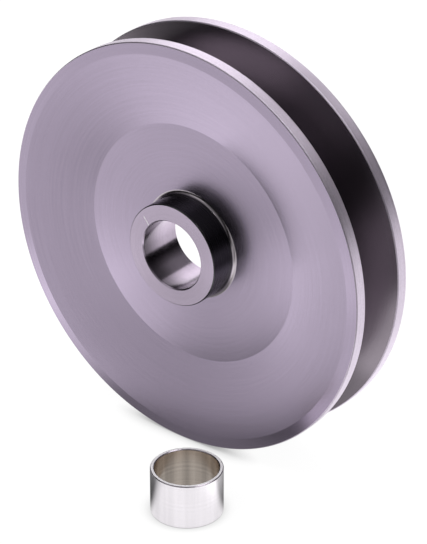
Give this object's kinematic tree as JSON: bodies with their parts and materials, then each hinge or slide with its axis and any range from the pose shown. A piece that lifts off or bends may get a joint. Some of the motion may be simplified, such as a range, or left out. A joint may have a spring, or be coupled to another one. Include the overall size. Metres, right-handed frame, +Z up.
{
  "type": "v belt pulley",
  "caption": "Single-groove V belt pulley turned from anodised billet, with a dished web, front hub and plain bore, and a loose plated sleeve that reduces the bore.",
  "frame": {"origin": "on the bore axis, at the mid-plane of the belt groove", "axes": "+Y along the bore from the hub's face to the recessed back, +Z up, +X to the right seen from the hub side"},
  "size_m": [0.1016, 0.0507, 0.1016],
  "materials": {
    "anodised_aluminium": "hard anodised, satin, with fine concentric turning marks",
    "plated_steel": "bright nickel plate with a slightly warm tint"
  },
  "bodies": {
    "sleeve": {"reducer_sleeve": "plated_steel"},
    "pulley": {"pulley": "anodised_aluminium"}
  },
  "joints": [
    {"name": "pulley_spin", "type": "hinge", "parent": "sleeve", "child": "pulley", "pos_m": [0, 0, 0], "axis": [0, 1, 0], "continuous": true}
  ]
}
